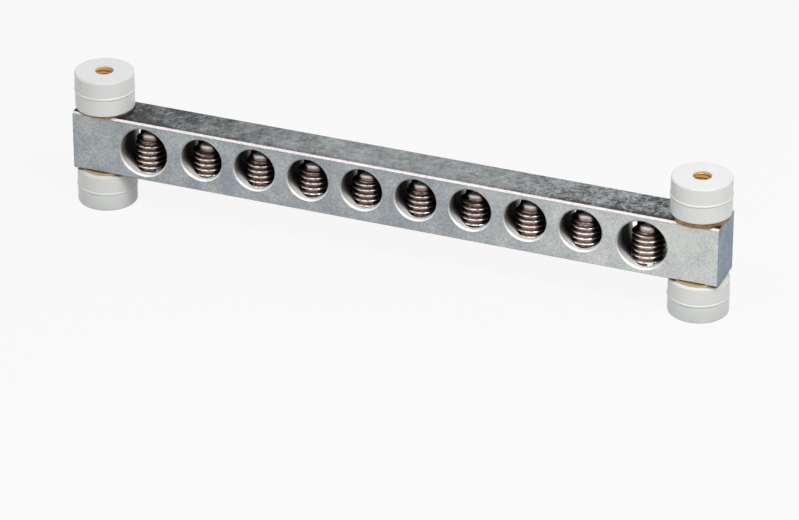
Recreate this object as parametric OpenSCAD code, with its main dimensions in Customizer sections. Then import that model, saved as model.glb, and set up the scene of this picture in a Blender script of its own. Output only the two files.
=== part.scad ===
// Earth terminal bar on four insulating pillars.
//
// A plated bar is cross-drilled with a row of wire holes. A grub screw comes up into each hole
// through a thread in the bar's underside and clamps the conductor against the roof of the hole.
// Two pillars at each end, one under the bar and one over it, keep it off the parts it is fixed
// between. Each pillar is moulded round a brass insert, whose threaded spigot screws into the bar
// and whose tapped bore takes the fixing screw. A washer packs up the right upper pillar.
//
// The part stands on its two lower pillars. X runs along the bar, and the wire side faces -Y.
// Millimetres.

/* [Bar] */
// Depth of the bar, from the wire side to the back
bar_depth = 8; // [7.5:0.5:12]
// Height of the bar
bar_height = 11; // [10.5:0.5:16]
// Chamfer along the bar's edges
bar_chamfer = 0.3; // [0.1:0.05:0.6]
// Distance from a pillar's axis to the end of the bar
end_margin = 4.5; // [3.5:0.5:12]

/* [Wire holes] */
// Number of small wire holes
small_hole_count = 8; // [2:1:16]
// Distance from one small wire hole to the next
hole_pitch = 10; // [9:0.5:16]
// Bore of a small wire hole
small_hole_d = 7.6; // [6.8:0.1:8.4]
// Bore of the large wire hole at each end of the row
large_hole_d = 8.8; // [7.6:0.1:9.2]
// Distance from the last small wire hole to the large one
large_hole_offset = 11; // [9.5:0.5:18]
// Distance from the large wire hole to the pillar's axis
pillar_offset = 9; // [8:0.5:18]
// Metal left over the wire holes
hole_roof = 1.15; // [0.8:0.05:1.6]
// Chamfer round the mouth of a wire hole
mouth_chamfer = 0.25; // [0.05:0.05:0.5]

/* [Clamp screws] */
// Outside diameter of a clamp screw's thread
screw_d = 6; // [5:0.5:6.5]
// Pitch of a clamp screw's thread
screw_pitch = 1; // [0.5:0.25:1]
// Length of a clamp screw
screw_length = 8; // [5:0.5:12]
// Diameter of the plain point at the screw's upper end
point_d = 4.3; // [3:0.1:4.6]
// Length of that point
point_length = 1.2; // [0.5:0.1:2]
// Space between the point and its seat in the roof of a small wire hole
point_gap = 1.1; // [0.1:0.1:2]
// Width of the driver slot in the screw's lower end
slot_width = 1; // [0.6:0.1:1.4]
// Depth of the driver slot
slot_depth = 1.6; // [0.8:0.1:2.4]

/* [Pillars] */
// Diameter of a pillar
pillar_d = 10.5; // [8.5:0.5:16]
// Height of a pillar's moulding
pillar_height = 6.55; // [6:0.05:12]
// Radius of the moulding's outer edge
pillar_round = 0.35; // [0.1:0.05:0.8]
// Height of the parting bead round the middle of the moulding
bead_height = 0.5; // [0.2:0.1:1.2]
// Distance that the bead stands out
bead_stand = 0.12; // [0.05:0.01:0.25]
// Thickness of the washer that packs up the right upper pillar
packing_height = 0.45; // [0.2:0.05:1]

/* [Inserts] */
// Diameter of the insert's knurled shank
shank_d = 6; // [5:0.5:7]
// Depth of the knurling
knurl_depth = 0.15; // [0.05:0.05:0.25]
// Number of teeth in the knurling
knurl_teeth = 24; // [13:1:32]
// Width of the groove that locks the shank in the moulding
groove_width = 1.2; // [0.6:0.1:2]
// Depth of that groove
groove_depth = 0.4; // [0.3:0.1:0.6]
// Distance that an upper pillar's collar, which bears on the bar, stays inside the moulding's edge
upper_collar_inset = 0.25; // [0.2:0.05:1]
// The same distance at a lower pillar
lower_collar_inset = 0.75; // [0.2:0.05:1]
// Thickness of the collars
collar_height = 0.45; // [0.2:0.05:1]
// Moulding left over the insert's outer end
insert_cover = 0.3; // [0.1:0.1:0.8]
// Tapped bore for the fixing screw
fixing_bore_d = 3.24; // [2.5:0.02:3.4]
// Depth of that bore
fixing_bore_depth = 4.5; // [2:0.1:5]
// Outside diameter of the spigot's thread
spigot_d = 5; // [3:0.5:5]
// Pitch of the spigot's thread
spigot_pitch = 0.8; // [0.5:0.1:1]
// Length of the spigot
spigot_length = 4.8; // [3:0.1:5.2]

/* [Clearances] */
// Radial clearance of a thread in its hole
thread_clearance = 0.05; // [0.02:0.01:0.1]
// Clearance of the moulding round its insert
moulding_clearance = 0.02; // [0.01:0.01:0.05]
// Radial clearance of a spigot in the packing washer
packing_clearance = 0.15; // [0.05:0.05:0.4]

/* [Hidden] */
$fn = 96;
cut = 1;                              // how far a cutting shape runs past the face that it cuts
thread_height = 0.613;                // height of a metric thread as a share of its pitch
screw_turn = 137.5;                   // how far each screw stands turned from the one before it

row_half = (small_hole_count - 1) * hole_pitch / 2;
large_hole_x = row_half + large_hole_offset;
pillar_x = large_hole_x + pillar_offset;
bar_length = 2 * (pillar_x + end_margin);
bar_z = pillar_height + collar_height;
bar_top_z = bar_z + bar_height;

screw_count = small_hole_count + 2;
roof_z = bar_top_z - hole_roof;
point_top_z = min(seat_z(small_hole_d), seat_z(large_hole_d)) - point_gap;
insert_length = pillar_height - insert_cover;

function is_large(i) = i == 1 || i == screw_count;
function hole_d(i) = is_large(i) ? large_hole_d : small_hole_d;
function hole_x(i) = i == 1 ? -large_hole_x
    : i == screw_count ? large_hole_x
    : (i - 2) * hole_pitch - row_half;
// Height at which a screw's point would meet the curved roof of a hole
function seat_z(d) = roof_z - d / 2 + sqrt(pow(d / 2, 2) - pow(point_d / 2, 2));
function collar_d(level) = pillar_d - 2 * (level == "upper" ? upper_collar_inset : lower_collar_inset);
function arc(centre, r, from, to, steps = 6) =
    [for (s = [0 : steps]) let (a = from + (to - from) * s / steps) centre + r * [cos(a), sin(a)]];

SIDES = ["left", "right"];
LEVELS = ["upper", "lower"];

// Outline of a threaded rod: crests and roots from z0 upwards, as many whole turns as fit below z1
function thread_outline(d, pitch, z0, z1) =
    let (root = d / 2 - thread_height * pitch, turns = floor((z1 - z0) / pitch))
    concat(
        [[root, z0]],
        [for (t = [0 : turns - 1]) each [[d / 2, z0 + (t + 0.5) * pitch], [root, z0 + (t + 1) * pitch]]],
        [[root, z1]]
    );

// Bar ----------------------------------------------------------------------------------------

module bar_blank() {
    y = bar_depth / 2;
    c = bar_chamfer;
    rotate([90, 0, 90])
        linear_extrude(bar_length, center = true)
            polygon([
                [-y + c, bar_z], [y - c, bar_z], [y, bar_z + c], [y, bar_top_z - c],
                [y - c, bar_top_z], [-y + c, bar_top_z], [-y, bar_top_z - c], [-y, bar_z + c]
            ]);
}

// A bore through the depth of the bar, with both mouths chamfered
module wire_hole(i) {
    r = hole_d(i) / 2;
    flare = mouth_chamfer + cut;
    translate([hole_x(i), 0, roof_z - r])
        rotate([90, 0, 0]) {
            cylinder(r = r, h = bar_depth + 2 * cut, center = true);
            for (side = [0, 1])
                mirror([0, 0, side])
                    translate([0, 0, bar_depth / 2 - mouth_chamfer])
                        cylinder(r1 = r, r2 = r + flare, h = flare);
        }
}

// The hole tapped up from the underside into a wire hole
module screw_hole(i) {
    translate([hole_x(i), 0, bar_z - cut])
        cylinder(r = screw_d / 2 + thread_clearance, h = roof_z - hole_d(i) / 2 - bar_z + cut);
}

module bar() {
    color("lightslategray")
        difference() {
            bar_blank();
            for (i = [1 : screw_count]) {
                wire_hole(i);
                screw_hole(i);
            }
            for (side = [-1, 1])
                translate([side * pillar_x, 0, bar_z - cut])
                    cylinder(r = spigot_d / 2 + thread_clearance, h = bar_height + 2 * cut);
        }
}

// Clamp screws -------------------------------------------------------------------------------

// A grub screw that stands point upwards, with its driver slot in the lower end
module clamp_screw(i) {
    shoulder = screw_length - point_length;
    point_break = 0.3;
    color("rosybrown")
        translate([hole_x(i), 0, point_top_z - screw_length])
            rotate(i * screw_turn) difference() {
                rotate_extrude()
                    polygon(concat(
                        [[0, 0]],
                        thread_outline(screw_d, screw_pitch, 0, shoulder),
                        [[point_d / 2, shoulder], [point_d / 2, screw_length - point_break],
                         [point_d / 2 - point_break, screw_length], [0, screw_length]]
                    ));
                translate([-screw_d, -slot_width / 2, -cut])
                    cube([2 * screw_d, slot_width, slot_depth + cut]);
            }
}

// Pillars ------------------------------------------------------------------------------------

// Puts an upper or lower pillar's piece on the bar: z = 0 is the moulding's face towards the bar
module at_pillar(level, side) {
    x = side == "left" ? -pillar_x : pillar_x;
    lift = level == "upper" && side == "right" ? packing_height : 0;
    if (level == "upper")
        translate([x, 0, bar_top_z + collar_height + lift]) children();
    else
        translate([x, 0, pillar_height]) mirror([0, 0, 1]) children();
}

// Half outline of the moulding, with the bead at mid-height and the outer edge rounded
module moulding_outline() {
    r = pillar_d / 2;
    mid = pillar_height / 2;
    inner_edge = pillar_round / 2;
    polygon(concat(
        [[0, 0]],
        arc([r - inner_edge, inner_edge], inner_edge, -90, 0, 4),
        [for (s = [-1 : 0.25 : 1]) [r + bead_stand * cos(90 * s), mid + s * bead_height / 2]],
        arc([r - pillar_round, pillar_height - pillar_round], pillar_round, 0, 90),
        [[0, pillar_height]]
    ));
}

module pillar(level, side) {
    color("ivory")
        at_pillar(level, side)
            difference() {
                rotate_extrude() moulding_outline();
                insert_shank(moulding_clearance);
                cylinder(r = fixing_bore_d / 2 + moulding_clearance, h = pillar_height + cut);
            }
}

// Inserts ------------------------------------------------------------------------------------

// Straight knurling as a toothed prism
module knurled_rod(r, height) {
    linear_extrude(height)
        polygon([for (t = [0 : 2 * knurl_teeth - 1])
            let (a = t * 180 / knurl_teeth, edge = t % 2 == 0 ? r : r - knurl_depth) edge * [cos(a), sin(a)]]);
}

// The part of the insert inside the moulding: two knurled bands with a locking groove between
module insert_shank(spare) {
    band = (insert_length - groove_width) / 2;
    translate([0, 0, -spare])
        knurled_rod(shank_d / 2 + spare, band + 2 * spare);
    cylinder(r = shank_d / 2 - groove_depth + spare, h = insert_length);
    translate([0, 0, insert_length - band - spare])
        knurled_rod(shank_d / 2 + spare, band + 2 * spare);
}

module insert(level, side) {
    bore_r = fixing_bore_d / 2;
    mouth = 0.2;
    color("peru")
        at_pillar(level, side) {
            difference() {
                union() {
                    insert_shank(0);
                    translate([0, 0, -collar_height])
                        cylinder(d = collar_d(level), h = collar_height);
                    translate([0, 0, -collar_height - spigot_length])
                        rotate_extrude()
                            polygon(concat(
                                [[0, 0]],
                                thread_outline(spigot_d, spigot_pitch, 0, spigot_length),
                                [[0, spigot_length]]
                            ));
                }
                translate([0, 0, insert_length - fixing_bore_depth])
                    cylinder(r = bore_r, h = fixing_bore_depth + cut);
                translate([0, 0, insert_length - mouth])
                    cylinder(r1 = bore_r, r2 = bore_r + mouth + cut, h = mouth + cut);
            }
        }
}

// Packing washer -----------------------------------------------------------------------------

// Lies between the bar and the right upper insert's collar
module packing_washer() {
    color("peru")
        translate([pillar_x, 0, bar_top_z])
            difference() {
                cylinder(d = collar_d("upper"), h = packing_height);
                translate([0, 0, -cut])
                    cylinder(d = spigot_d + 2 * packing_clearance, h = packing_height + 2 * cut);
            }
}

// Nodes --------------------------------------------------------------------------------------

bar();
for (i = [1 : screw_count])
    clamp_screw(i);
for (level = LEVELS)
    for (side = SIDES) {
        pillar(level, side);
        insert(level, side);
    }
packing_washer();
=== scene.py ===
"""Looks of an earth terminal bar: a plated bar with ten clamp screws, between four white pillars."""

import math

import bmesh
import bpy
import numpy as np
from mathutils import Matrix, Vector


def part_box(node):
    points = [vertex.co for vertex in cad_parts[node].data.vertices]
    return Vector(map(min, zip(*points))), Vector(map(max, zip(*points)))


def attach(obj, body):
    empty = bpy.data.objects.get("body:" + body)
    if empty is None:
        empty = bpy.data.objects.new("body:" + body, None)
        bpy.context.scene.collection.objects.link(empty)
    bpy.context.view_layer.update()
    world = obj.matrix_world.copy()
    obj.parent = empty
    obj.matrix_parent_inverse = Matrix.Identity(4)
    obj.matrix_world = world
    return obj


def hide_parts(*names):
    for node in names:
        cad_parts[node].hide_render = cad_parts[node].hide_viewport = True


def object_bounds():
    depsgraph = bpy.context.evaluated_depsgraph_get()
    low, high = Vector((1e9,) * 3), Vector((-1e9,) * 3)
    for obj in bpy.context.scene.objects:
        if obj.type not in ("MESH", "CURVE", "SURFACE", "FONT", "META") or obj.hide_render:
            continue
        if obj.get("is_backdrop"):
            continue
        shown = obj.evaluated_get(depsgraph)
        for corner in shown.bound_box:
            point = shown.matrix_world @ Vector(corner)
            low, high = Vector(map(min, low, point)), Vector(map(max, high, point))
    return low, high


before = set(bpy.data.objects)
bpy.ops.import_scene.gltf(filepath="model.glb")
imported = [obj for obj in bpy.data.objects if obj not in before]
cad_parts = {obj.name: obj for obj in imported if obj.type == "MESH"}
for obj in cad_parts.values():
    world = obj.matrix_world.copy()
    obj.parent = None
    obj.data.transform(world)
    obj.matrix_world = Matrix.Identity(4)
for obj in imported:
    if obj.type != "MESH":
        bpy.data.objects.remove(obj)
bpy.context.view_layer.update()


# Camera and studio -----------------------------------------------------------------------------
# The part stands on a plain white table. A soft box hangs close over its right end, a larger one
# over its left, a weak one behind, and a pale room fills in. A long lens looks down from the right.

bpy.context.scene.view_settings.view_transform = "Standard"

azimuth, elevation = math.radians(21.93), math.radians(28.14)
towards_camera = np.array(
    [
        math.sin(azimuth) * math.cos(elevation),
        -math.cos(azimuth) * math.cos(elevation),
        math.sin(elevation),
    ]
)
aim = np.array([0.00051, 0, -0.00142])
camera_distance = 0.8405


def aimed(data, place, target):
    """An object of data at place, whose -Z axis points at target."""
    made = bpy.data.objects.new(data.name, data)
    bpy.context.scene.collection.objects.link(made)
    made.location = place
    made.rotation_euler = Vector(place - target).to_track_quat("Z", "Y").to_euler()
    return made


lens = bpy.data.cameras.new("camera")
lens.sensor_width = 36
lens.lens = 218.66
lens.clip_start = 0.01
bpy.context.scene.camera = aimed(lens, aim + camera_distance * towards_camera, aim)


middle_of_bar = np.array([0, 0, 0.012])


def soft_box(name, watts, width, depth, place):
    """A rectangular lamp of that size that hangs at place and faces the bar."""
    lamp = bpy.data.lights.new(name, "AREA")
    lamp.shape = "RECTANGLE"
    lamp.size, lamp.size_y = width, depth
    lamp.energy = watts
    return aimed(lamp, np.array(place), middle_of_bar)


soft_box("key_light", 0.88, 0.18, 0.18, (0.18, -0.14, 0.32))
soft_box("front_light", 0.60, 0.4, 0.25, (-0.20, -0.30, 0.46))
soft_box("back_light", 0.16, 0.4, 0.25, (-0.10, 0.34, 0.26))


class Field:
    """A shader socket. Sums, products and powers written on it add the Math nodes for them."""

    def __init__(self, tree, socket=None):
        self.tree, self.socket = tree, socket

    def node(self, kind, settings=None, sockets=None, out=0):
        """Adds a node, sets its settings, sets or links its sockets, and returns output out."""
        made = self.tree.nodes.new(kind)
        for name, value in (settings or {}).items():
            setattr(made, name, value)
        for name, value in (sockets or {}).items():
            if isinstance(value, Field):
                self.tree.links.new(value.socket, made.inputs[name])
            else:
                made.inputs[name].default_value = value
        return Field(self.tree, made.outputs[out] if made.outputs else None)

    def maths(self, operation, *values):
        """A Math node of that operation on the values."""
        return self.node("ShaderNodeMath", {"operation": operation}, dict(enumerate(values)))

    def __add__(self, other):
        return self.maths("ADD", self, other)

    def __sub__(self, other):
        return self.maths("SUBTRACT", self, other)

    def __rsub__(self, other):
        return self.maths("SUBTRACT", other, self)

    def __mul__(self, other):
        return self.maths("MULTIPLY", self, other)

    def __truediv__(self, other):
        return self.maths("DIVIDE", self, other)

    def __rtruediv__(self, other):
        return self.maths("DIVIDE", other, self)

    def __pow__(self, other):
        return self.maths("POWER", self, other)

    def __neg__(self):
        return self.maths("MULTIPLY", self, -1)

    def __abs__(self):
        return self.maths("ABSOLUTE", self)

    __radd__, __rmul__ = __add__, __mul__

    def above(self, low, high):
        """0 below low, 1 above high, and a smooth rise between."""
        return self.node(
            "ShaderNodeMapRange",
            {"interpolation_type": "SMOOTHSTEP"},
            {"Value": self, "From Min": low, "From Max": high},
        )

    def blend(self, start, end):
        """The colour start where this is 0 and end where it is 1."""
        return self.node(
            "ShaderNodeMix",
            {"data_type": "RGBA"},
            {"Factor": self, 6: start, 7: end},
            out=2,
        )

    def darken(self, shader, share):
        """Gives that share of a finish to a dull black, as painted shade where light hardly reaches.
        """
        shade_black = (0.006, 0.004, 0.004, 1)
        black = self.node("ShaderNodeBsdfDiffuse", None, {"Color": shade_black})
        whole = Field(self.tree, shader.outputs[0])
        mixed = self.node("ShaderNodeMixShader", None, {"Fac": share, 1: whole, 2: black})
        output = self.tree.get_output_node("ALL")
        self.tree.links.new(mixed.socket, output.inputs["Surface"])


def backdrop_tree(owner):
    """The owner's emptied tree, and 1 for a ray from the camera, a gloss or a glass, or else 0."""
    owner.use_nodes = True
    root = Field(owner.node_tree)
    root.tree.nodes.clear()
    paths = root.tree.nodes.new("ShaderNodeLightPath")
    seen = Field(root.tree, paths.outputs["Is Camera Ray"])
    for kind in ("Is Glossy Ray", "Is Transmission Ray"):
        seen = seen.maths("MAXIMUM", seen, Field(root.tree, paths.outputs[kind]))
    return root, seen


room_light, backdrop_white = 0.36, 0.95
world = bpy.data.worlds.new("room")
bpy.context.scene.world = world
root, seen = backdrop_tree(world)
strength = room_light + (backdrop_white - room_light) * seen
pale = root.node("ShaderNodeBackground", None, {"Color": (1, 1, 1, 1), "Strength": strength})
root.node("ShaderNodeOutputWorld", None, {"Surface": pale})

table_reach, table_z = 6.0, -0.00002
table_mesh = bpy.data.meshes.new("table")
quarters = ((-1, -1), (1, -1), (1, 1), (-1, 1))
table_corners = [(x * table_reach, y * table_reach, table_z) for x, y in quarters]
table_mesh.from_pydata(table_corners, [], [(0, 1, 2, 3)])
table = bpy.data.objects.new("table", table_mesh)
bpy.context.scene.collection.objects.link(table)
table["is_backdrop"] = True
table_white = bpy.data.materials.new("table_white")
root, seen = backdrop_tree(table_white)
matt_grey, glow_share = (0.5, 0.5, 0.5, 1), 0.9
matt = root.node("ShaderNodeBsdfDiffuse", None, {"Color": matt_grey})
glow = root.node("ShaderNodeEmission", None, {"Strength": 1.0})
lit = root.node("ShaderNodeMixShader", None, {"Fac": glow_share * seen, 1: matt, 2: glow})
root.node("ShaderNodeOutputMaterial", None, {"Surface": lit})
table_mesh.materials.append(table_white)


# Bar -------------------------------------------------------------------------------------------
# Drawn metal bar, sawn to length, drilled across and plated dull grey. The plating is even on the
# milled wire sides and blotchy on the drawn skin above and below. Painted light brightens the milled
# sides towards the right end, the skin is painted dark as shade, and the holes carry painted shade
# that turns black where they run deep.


def finish(name):
    """A new material's Field and its surface shader, joined to the output."""
    made = bpy.data.materials.new(name)
    made.use_nodes = True
    made.node_tree.nodes.clear()
    root = Field(made.node_tree)
    surface = root.node("ShaderNodeBsdfPrincipled")
    root.node("ShaderNodeOutputMaterial", None, {"Surface": surface})
    return made, root, surface.socket.node


def millimetres(root):
    """The place on the part in millimetres, as a vector Field and its three parts."""
    place = root.node("ShaderNodeTexCoord", None, None, "Object")
    place = root.node(
        "ShaderNodeVectorMath", {"operation": "SCALE"}, {0: place, "Scale": 1000.0}
    )
    return (place, *(root.node("ShaderNodeSeparateXYZ", None, {0: place}, i) for i in range(3)))


def grain(place, scale, detail=3.0, rough=0.55, stretch=None):
    """Cloudy noise, 0 to 1 round 0.5, with about scale lumps to the millimetre."""
    if stretch:
        place = place.node(
            "ShaderNodeVectorMath", {"operation": "MULTIPLY"}, {0: place, 1: stretch}
        )
    return place.node(
        "ShaderNodeTexNoise",
        None,
        {"Vector": place, "Scale": scale, "Detail": detail, "Roughness": rough},
    )


def set_surface(root, shader, **sockets):
    """Sets or links the surface shader's sockets, named with underscores for spaces."""
    for name, value in sockets.items():
        socket = shader.inputs[name.replace("_", " ")]
        if isinstance(value, Field):
            root.tree.links.new(value.socket, socket)
        else:
            socket.default_value = value


plating, root, shader = finish("dull_grey_plating")
place, x, y, z = millimetres(root)
low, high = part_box("bar")
mid_z = (low.z + high.z) / 2 * 1000
half_x, half_y, half_z = high.x * 1000, high.y * 1000, (high.z - low.z) / 2 * 1000
across, up = abs(y), abs(z - mid_z)
upper_half = z.above(mid_z, mid_z + 0.1)

# Where each finish lies: the upper edges with a painted highlight, the painted shade line below
# them, the skin and the sawn ends.
edge_chamfer = 0.3
chamfer_at = half_y + half_z - edge_chamfer
edges = (across + up).above(chamfer_at - 0.09, chamfer_at - 0.02) * upper_half
shade_line_below_edge = up.above(half_z - edge_chamfer - 0.2, half_z - edge_chamfer - 0.08) * upper_half
skin = up.above(half_z - 0.2, half_z - 0.02)
sawn = abs(x).above(half_x - 0.04, half_x - 0.005)

# The wire holes, in millimetres: eight small ones a pitch apart, and a large one at each end.
hole_pitch, large_x = 10.0, 46.0
small_r, large_r = 3.8, 4.4
small_z, large_z = 13.05, 12.45


def beside_axis(x):
    """Distance in X from the axis of the nearest wire hole and its screw, and 1 at a large one."""
    to_small = hole_pitch / 2 - x.maths("PINGPONG", abs(x), hole_pitch / 2)
    at_large = abs(x).maths("GREATER_THAN", abs(x), large_x - large_r - 1)
    return to_small + (abs(abs(x) - large_x) - to_small) * at_large, at_large


beside, at_large = beside_axis(x)
hole_z = small_z + (large_z - small_z) * at_large
hole_r = small_r + (large_r - small_r) * at_large
from_hole = root.maths("SQRT", beside**2 + (z - hole_z) ** 2) - hole_r
low_in_hole = (hole_z - z) / hole_r

# The holes' walls, their chamfered mouths, and how far in a wall turns grey and then black, as
# painted shade. The lower side of a mouth and the floor carry painted light, and the floor stays
# lit further in than the sides do.
bore = 1 - from_hole.above(0.02, 0.06)
at_mouth = across.above(half_y - 0.3, half_y - 0.26)
mouth = (1 - from_hole.above(0.22, 0.30)) * (1 - bore) * at_mouth
mouth_painted_light = low_in_hole.above(-0.15, 0.8)
floor_of_hole = low_in_hole.above(0.1, 0.8)
inside_painted_shade = bore * (1 - (across + 1.1 * floor_of_hole).above(half_y - 1.2, half_y - 0.1))
deep_painted_shade = bore * (1 - (across + 0.8 * floor_of_hole).above(half_y - 2.8, half_y - 0.4))

# Grain, from coarse to fine. The skin is painted dark as shade, darkest at the left end as painted
# shade, most broken at the right, and darker along its front edge.
cloud = grain(place, 0.22, 4.0)
blotch = grain(place, 0.9, 3.0, 0.55, (1, 0.8, 1))
fleck = grain(place, 2.2, 2.0)
fine = grain(place, 6.0, 2.0)
painted_light_to_right = x.above(0, 55)
left_end, right_end = (-x).above(7, 52), x.above(10, 50)

even = (cloud - 0.5) * 1.1 + (fleck - 0.5) * 1.2 + (fine - 0.5)
front_strip = (-y + 1.2 * (blotch - 0.5)).above(half_y - 2.0, half_y - 0.5)
patchy = (blotch - 0.5) * 1.5 + (fleck - 0.5) * 1.5 + (fine - 0.5) + (cloud - 0.5) * 1.4
patchy = patchy * (0.6 + 0.25 * left_end + right_end)
patchy = patchy + 0.68 - 0.57 * left_end - 0.26 * right_end
patchy = patchy - (0.22 + 0.5 * right_end) * front_strip

# The milled faces grow paler towards the right end as painted light.
even_tone = 0.2 + 0.62 * painted_light_to_right + even
milled_colour = even_tone.blend((0.295, 0.33, 0.365, 1), (0.68, 0.70, 0.665, 1))
# The skin's dark colour is painted reflection of dark surroundings.
skin_painted_dark = patchy.blend((0.024, 0.026, 0.030, 1), (0.315, 0.34, 0.345, 1))
# The sawn ends' dark blue-grey is painted reflection of dark surroundings.
sawn_reflection_colour = (even * 1.6 + 0.5).blend((0.11, 0.155, 0.21, 1), (0.28, 0.355, 0.43, 1))
# A painted highlight along the upper edges, broken by fleck.
edge_highlight_colour = (1.8 * fleck - 0.4).blend((0.58, 0.53, 0.52, 1), (0.86, 0.81, 0.79, 1))
# Painted light on the lower side of each mouth and on the floor of each bore.
mouth_colour = mouth_painted_light.blend((0.42, 0.43, 0.43, 1), (0.92, 0.92, 0.91, 1))
bore_colour = floor_of_hole.blend((0.30, 0.285, 0.27, 1), (0.90, 0.90, 0.89, 1))

colour = skin.blend(milled_colour, skin_painted_dark)
colour = sawn.blend(colour, sawn_reflection_colour)
# A painted shade line just below the upper edges.
colour = (0.35 * shade_line_below_edge * (1 - skin)).blend(colour, (0.05, 0.05, 0.055, 1))
colour = edges.blend(colour, edge_highlight_colour)
colour = mouth.blend(colour, mouth_colour)
colour = bore.blend(colour, bore_colour)
# Painted shade inside the holes, going black where they run deep.
colour = inside_painted_shade.blend(colour, (0.20, 0.18, 0.165, 1))
colour = deep_painted_shade.blend(colour, (0.012, 0.009, 0.008, 1))
bright = root.maths("MAXIMUM", root.maths("MAXIMUM", edges, mouth), bore)
metallic = 0.8 - 0.5 * bright
rough = 0.40 + 0.12 * (fine - 0.5) + 0.08 * skin
relief = root.node(
    "ShaderNodeBump",
    None,
    {"Strength": 0.6, "Distance": 0.00003, "Height": fine * 0.4 + patchy * skin + fleck * 0.5},
)
set_surface(root, shader, Base_Color=colour, Metallic=metallic, Roughness=rough, Normal=relief)
# The deep walls also get a dull black share, as painted shade.
root.darken(shader, 0.92 * deep_painted_shade)
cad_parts["bar"].material_slots[0].material = plating


# Pillars ---------------------------------------------------------------------------------------
# Four stand-off pillars, moulded from white filled polyester in a two-part tool. The parting line
# stands out as a bead round the middle. The skin is satin, a little greyer on faces that look up,
# with painted shade towards the foot.

moulding, root, shader = finish("white_moulding")
place, _, _, z = millimetres(root)
cloud = grain(place, 0.35, 3.0)
fine = grain(place, 5.0, 3.0)
tone = (cloud - 0.5) * 0.7 + (fine - 0.5) * 0.5 + 0.5
colour = tone.blend((0.795, 0.81, 0.78, 1), (0.915, 0.925, 0.905, 1))
facing = root.node("ShaderNodeNewGeometry", None, None, "Normal")
facing_up = root.node("ShaderNodeSeparateXYZ", None, {0: facing}, "Z").above(0.2, 0.9)
# Faces that look up are made a little greyer.
greyer_upward = facing_up * (0.8 + cloud * 0.4)
colour = greyer_upward.blend(colour, tone.blend((0.69, 0.71, 0.70, 1), (0.80, 0.815, 0.81, 1)))
# Painted shade, darker towards the foot.
shade_at_foot = cloud * (1 - z.above(0, 4.5))
colour = shade_at_foot.blend(colour, (0.60, 0.625, 0.625, 1))
relief = root.node("ShaderNodeBump", None, {"Strength": 0.5, "Distance": 0.00002, "Height": fine})
set_surface(
    root, shader, Base_Color=colour, Roughness=0.38 + 0.14 * (fine - 0.5), Normal=relief
)


# Inserts ---------------------------------------------------------------------------------------
# Turned brass inserts that the pillars are moulded round. What shows is the collar against the
# bar and the tapped bore in a pillar's end face. A brass washer packs up the right upper pillar.

brass, root, shader = finish("dulled_brass")
place, x, y, z = millimetres(root)
pillar_x, bore_r, bore_pitch, bar_underside = 55.0, 1.8, 0.7, 7.0
off_axis = x - pillar_x * root.maths("SIGN", x)
radius = root.maths("SQRT", off_axis**2 + y**2)
tapped = 1 - radius.above(bore_r, bore_r + 0.1)

# The bore's thread: a ridge that climbs by one pitch a turn.
turns = z / bore_pitch - root.maths("ARCTAN2", y, off_axis) / (2 * math.pi)
whole_turns = 100  # keeps the count above zero
ridge = root.maths("PINGPONG", turns + whole_turns, 0.5) * 2

tarnish = grain(place, 1.4, 3.0)
turning = grain(place, 3.0, 2.0, stretch=(1, 1, 8))
tone = (tarnish - 0.5) * 1.6 + (turning - 0.5) * 0.8 + 0.5
# The collars' brown is tarnish and painted shade, as in the gap under a pillar.
dulled = tone.blend((0.13, 0.07, 0.035, 1), (0.43, 0.29, 0.15, 1))
# In the bore, painted shade in the thread's roots and painted highlight on its ridges.
clean = (0.35 * ridge + 0.5 * tone).blend((0.60, 0.34, 0.10, 1), (0.98, 0.68, 0.26, 1))
# Painted light: the collars below the bar's underside are lightened.
painted_light_under_bar = 1 - z.above(bar_underside + 0.05, bar_underside + 0.15)
dulled = (0.6 * painted_light_under_bar).blend(dulled, (0.80, 0.64, 0.42, 1))
relief = root.node(
    "ShaderNodeBump", None, {"Strength": 0.5, "Distance": 0.00025, "Height": ridge * tapped}
)
set_surface(
    root,
    shader,
    Base_Color=tapped.blend(dulled, clean),
    Metallic=0.75 - 0.35 * tapped,
    Roughness=0.36 + 0.14 * (turning - 0.5),
    Normal=relief,
)

for level in ("upper", "lower"):
    for side in ("left", "right"):
        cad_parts[f"{level}_{side}_pillar"].material_slots[0].material = moulding
        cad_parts[f"{level}_{side}_insert"].material_slots[0].material = brass
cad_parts["packing_washer"].material_slots[0].material = brass


# Clamp screws ----------------------------------------------------------------------------------
# Ten slotted grub screws, M6 with a plain point, rolled in steel and passivated to a brownish
# bronze. Each stands in its tapped hole point upwards and has stopped at an angle of its own.

screw_count = 10
screw_r, screw_pitch, thread_depth = 0.003, 0.001, 0.000613
screw_length, point_r, point_length, point_break = 0.008, 0.00215, 0.0012, 0.0003
slot_width, slot_depth = 0.001, 0.0016
screw_turn = math.radians(137.5)


def thread_height(turns):
    """How far a metric thread stands at a place along it, from 0 in the root to 1 on the crest.

    turns counts pitches from the middle of a root. The root is flat for a quarter of the pitch,
    the flanks rise in straight lines, and the crest is flat for an eighth of it.
    """
    root_edge, crest_edge = 0.125, 0.4375
    from_root = np.abs((turns + 0.5) % 1 - 0.5)
    return np.clip((from_root - root_edge) / (crest_edge - root_edge), 0, 1)


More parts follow.
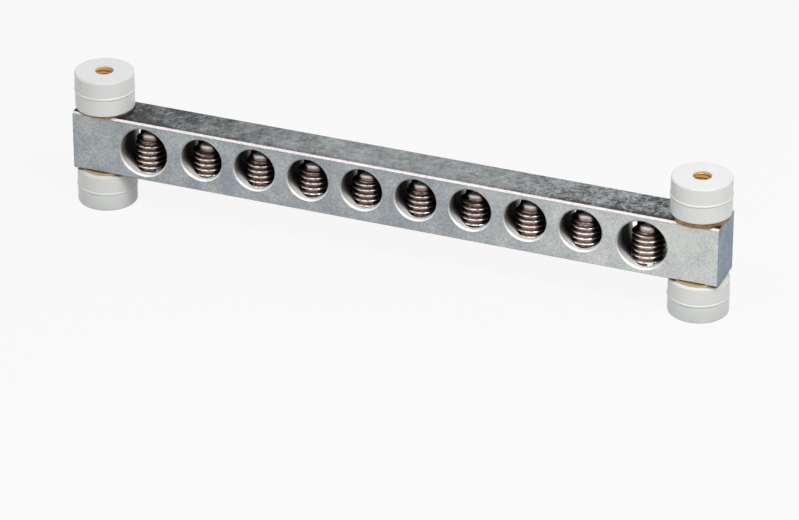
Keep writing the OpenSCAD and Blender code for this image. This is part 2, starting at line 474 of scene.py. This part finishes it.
def closed_skin(name, rings, material):
    """A mesh through a stack of closed rings, (rows, steps, 3), with a fan across each end."""
    rows, steps, _ = rings.shape
    ends = rings[[0, -1]].mean(axis=1)
    corners = np.vstack([rings.reshape(-1, 3), ends])
    here, after = np.arange(steps), (np.arange(steps) + 1) % steps
    row = np.arange(rows - 1)[:, None] * steps
    above = row + steps
    walls = np.stack([row + here, row + after, above + after, above + here], axis=-1)
    floor_middle, lid_middle, top = rows * steps, rows * steps + 1, (rows - 1) * steps
    floor = np.stack([after, here, np.full(steps, floor_middle)], axis=-1)
    lid = np.stack([top + here, top + after, np.full(steps, lid_middle)], axis=-1)
    faces = walls.reshape(-1, 4).tolist() + floor.tolist() + lid.tolist()
    mesh = bpy.data.meshes.new(name)
    mesh.from_pydata(corners.tolist(), [], faces)
    mesh.materials.append(material)
    mesh.shade_smooth()
    return mesh


def screw_rings(x, base_z, turn):
    """Rings up a grub screw whose point is on top.

    Ring height runs along the screw's outline from z = 0 to its length. The radius is the root's
    plus the thread depth times thread_height(z / pitch - angle / 2 pi), which makes the ridge a
    right-handed helix. The thread fades in and out over part of a pitch at its ends. From the
    shoulder the radius steps in to the point, then to its small chamfer and half-way over its flat.
    """
    steps, thread_rows = 72, 92
    fade_in, fade_out = 0.45 * screw_pitch, 0.3 * screw_pitch
    shoulder = screw_length - point_length
    point_heights = [shoulder, screw_length - point_break, screw_length, screw_length]
    flat_r = point_r - point_break
    point_radii = [point_r, point_r, flat_r, flat_r / 2]

    angle = np.arange(steps) * 2 * np.pi / steps
    heights = np.concatenate([np.linspace(0, shoulder, thread_rows), point_heights])
    z = heights[:, None] * np.ones(steps)
    fade = np.clip(z / fade_in, 0, 1) * np.clip((shoulder - z) / fade_out, 0, 1)
    ridge = thread_height(z / screw_pitch - angle / (2 * np.pi))
    radius = screw_r - thread_depth + thread_depth * fade * ridge
    radius[thread_rows:] = np.array(point_radii)[:, None]
    return np.stack(
        [x + radius * np.cos(angle + turn), radius * np.sin(angle + turn), base_z + z], axis=-1
    )


steel, root, shader = finish("bronzed_steel")
place, x, y, z = millimetres(root)
beside, _ = beside_axis(x)
radius = root.maths("SQRT", beside**2 + y**2)
height = (radius / 1000 - screw_r + thread_depth) / thread_depth
low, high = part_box("clamp_screw_1")
foot_z, shoulder_z = low.z * 1000, (high.z - point_length) * 1000

# The sides that face along the bar carry painted shade, and the point a painted highlight where
# it faces the wire.
faces_wire = abs(y) / radius
towards_wire = faces_wire.above(0.70, 0.92)
# A painted highlight on the point where it faces the wire.
tip_highlight = z.above(shoulder_z + 0.4, shoulder_z + 0.8) * faces_wire.above(0.8, 0.97)
in_hole_shade = z.above(foot_z + 1.2, foot_z + 1.8)

stain = grain(place, 1.4, 3.0)
fine = grain(place, 5.0, 2.0)
# Paler towards the lower end.
lighter_low = 1 - z.above(9.0, 14.0)
paler = x.above(10, 46)
tone = (stain - 0.5) * 2.0 + (fine - 0.5) * 0.8 + 0.36 + 0.2 * lighter_low + 0.55 * paler
# Painted highlight on the thread's crests and painted shade on its flanks.
crest = tone.blend((0.66, 0.57, 0.52, 1), (0.94, 0.89, 0.85, 1))
flank = tone.blend((0.12, 0.086, 0.074, 1), (0.41, 0.305, 0.27, 1))
tip_highlight_colour = tone.blend((0.76, 0.72, 0.70, 1), (1.0, 0.98, 0.96, 1))
colour = height.above(0.5, 0.95).blend(flank, crest)
colour = tip_highlight.blend(colour, tip_highlight_colour)
set_surface(
    root,
    shader,
    Base_Color=colour,
    Metallic=0.85 - 0.35 * tip_highlight,
    Roughness=0.24 + 0.08 * tip_highlight + 0.15 * (fine - 0.5),
)
# Painted shade: in the hole, away from the point and the sides towards the wire, a dull black share.
root.darken(shader, 0.8 * in_hole_shade * (1 - tip_highlight) * (1 - towards_wire))


def cut_slot(screw, x, base_z, turn):
    """Cuts the driver slot across the lower end: a box through the axis, turned with the screw."""
    cutter_mesh = bpy.data.meshes.new("slot")
    form = bmesh.new()
    past_both_sides = 2.4 * screw_r
    size = Matrix.Diagonal((past_both_sides, slot_width, 2 * slot_depth, 1))
    place = Matrix.Translation((x, 0, base_z)) @ Matrix.Rotation(turn, 4, "Z")
    bmesh.ops.create_cube(form, size=1, matrix=place @ size)
    form.to_mesh(cutter_mesh)
    form.free()
    cutter = bpy.data.objects.new("slot", cutter_mesh)
    bpy.context.scene.collection.objects.link(cutter)
    cut = screw.modifiers.new("slot", "BOOLEAN")
    cut.operation, cut.solver, cut.object = "DIFFERENCE", "EXACT", cutter
    evaluated = screw.evaluated_get(bpy.context.evaluated_depsgraph_get())
    whole, screw.data = screw.data, bpy.data.meshes.new_from_object(evaluated)
    screw.modifiers.clear()
    screw.data.name = screw.name
    bpy.data.objects.remove(cutter)
    bpy.data.meshes.remove(cutter_mesh)
    bpy.data.meshes.remove(whole)


sharp_angle = math.radians(50)
for number in range(1, screw_count + 1):
    node = f"clamp_screw_{number}"
    low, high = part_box(node)
    centre_x, turn = (low.x + high.x) / 2, number * screw_turn
    mesh = closed_skin(f"grub_screw_{number}", screw_rings(centre_x, low.z, turn), steel)
    screw = bpy.data.objects.new(mesh.name, mesh)
    bpy.context.scene.collection.objects.link(screw)
    cut_slot(screw, centre_x, low.z, turn)
    screw.data.set_sharp_from_angle(angle=sharp_angle)
    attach(screw, node)
    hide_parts(node)

low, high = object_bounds()
